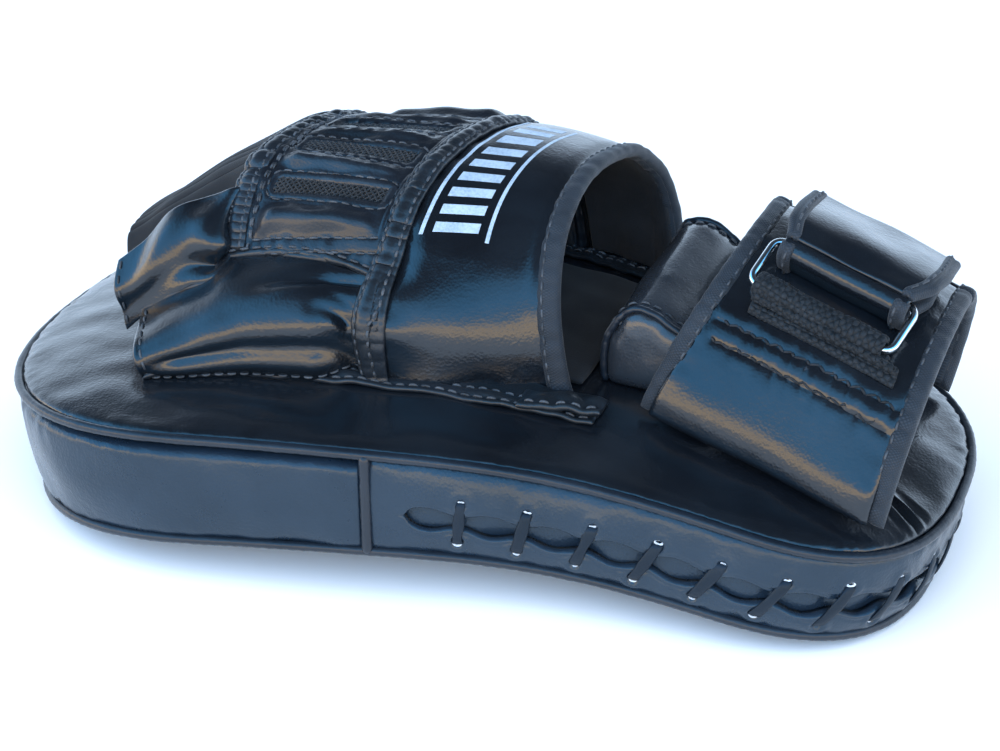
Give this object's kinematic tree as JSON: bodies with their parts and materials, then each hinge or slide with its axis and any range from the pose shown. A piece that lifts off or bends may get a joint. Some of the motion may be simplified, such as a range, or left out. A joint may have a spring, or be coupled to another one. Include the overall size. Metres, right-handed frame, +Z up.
{
  "type": "curved focus mitt",
  "caption": "Curved foam boxing focus mitt with a hand pocket, thumb sleeve, laced wrist-end wall and a wrist cuff closed by a ringed hook-and-loop strap.",
  "frame": {"origin": "middle of the bounding box, on the surface that the mitt lies on", "axes": "+X from the finger end to the wrist end, +Z up out of the back, -Y on the thumb side"},
  "size_m": [0.3026, 0.188, 0.111],
  "materials": {
    "glossy_leather": "very glossy black coated leather",
    "binding_tape": "matt dark grey woven binding with a stitch line",
    "seam_tape": "rough satin black seam tape with double stitching",
    "piping_cord": "satin black covered piping",
    "vent_mesh": "coarse matt black knitted mesh",
    "lining_cloth": "brushed dark lining cloth",
    "foam": "closed-cell foam",
    "lace_cord": "flat satin lace",
    "woven_webbing": "matt black woven webbing",
    "ring_chrome": "bright plated wire",
    "hook_and_loop": "matt black hook-and-loop"
  },
  "bodies": {
    "root": {"back_cover": "glossy_leather", "back_foam": "foam", "bolster_cover": "glossy_leather", "bolster_far_end": "glossy_leather", "bolster_foam": "foam", "bolster_near_end": "glossy_leather", "bottom_edge_piping": "piping_cord", "closure_strap": "glossy_leather", "core_foam": "foam", "cuff_far_wing": "glossy_leather", "cuff_far_wing_left_binding": "binding_tape", "cuff_far_wing_right_binding": "binding_tape", "cuff_near_wing": "glossy_leather", "cuff_near_wing_left_binding": "binding_tape", "cuff_near_wing_right_binding": "binding_tape", "far_base_strip": "seam_tape", "far_side_piping": "piping_cord", "finger_cover": "glossy_leather", "finger_end_band": "seam_tape", "finger_end_gusset": "glossy_leather", "finger_far_panel": "glossy_leather", "finger_near_panel": "glossy_leather", "finger_top_flap": "lining_cloth", "hand_cover": "glossy_leather", "hand_cover_binding": "binding_tape", "knuckle_seam_band": "seam_tape", "lace": "lace_cord", "lace_tongue": "glossy_leather", "loop_patch": "hook_and_loop", "mesh_vent_1": "vent_mesh", "mesh_vent_2": "vent_mesh", "mesh_vent_3": "vent_mesh", "mesh_vent_4": "vent_mesh", "near_base_strip": "seam_tape", "near_side_piping": "piping_cord", "palm_panel": "lining_cloth", "strike_face_cover": "glossy_leather", "strike_foam": "foam", "thumb_seam_piping": "seam_tape", "thumb_sleeve": "glossy_leather", "top_edge_piping": "piping_cord", "webbing_loop": "woven_webbing", "wrist_end_gusset": "glossy_leather"},
    "ring": {"strap_ring": "ring_chrome"},
    "tail": {"strap_tail": "glossy_leather", "tail_left_binding": "binding_tape", "tail_right_binding": "binding_tape", "hook_patch": "hook_and_loop"}
  },
  "joints": [
    {"name": "ring_swivel", "type": "hinge", "parent": "root", "child": "ring", "pos_m": [0.1079, -0.02079, 0.08701], "axis": [0.9532, -0.1559, -0.259], "range_deg": [0, 5]},
    {"name": "tail_peel", "type": "hinge", "parent": "root", "child": "tail", "pos_m": [0.11262, -0.01085, 0.10113], "axis": [0.9532, -0.1559, -0.259], "range_deg": [0, 100]}
  ]
}
